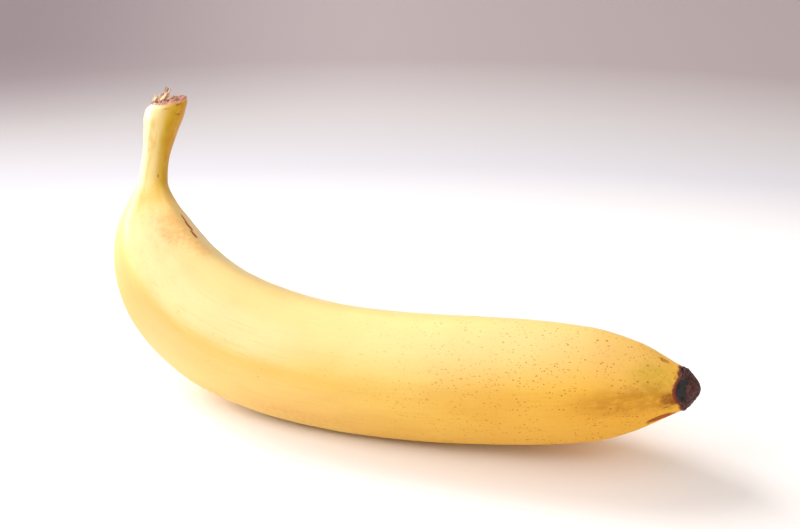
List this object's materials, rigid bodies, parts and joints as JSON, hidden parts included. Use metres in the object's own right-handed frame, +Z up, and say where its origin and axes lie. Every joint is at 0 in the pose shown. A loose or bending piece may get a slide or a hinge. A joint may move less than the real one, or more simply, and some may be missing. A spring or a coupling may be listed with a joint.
{
  "type": "banana",
  "caption": "Whole ripe banana in its peel, with a torn stem end and a dried blossom end, lying on its outer curve with the stem raised.",
  "frame": {"origin": "centre of the underside of the fruit's bounding box, on the surface that the fruit rests on", "axes": "+X along the fruit from the stem toward the blossom end, +Y toward the side that the raised stem leans to, +Z up"},
  "size_m": [0.1972, 0.072, 0.0846],
  "materials": {
    "peel": "satin waxy peel, yellow with small brown specks"
  },
  "bodies": {
    "root": {"banana": "peel"}
  },
  "joints": []
}
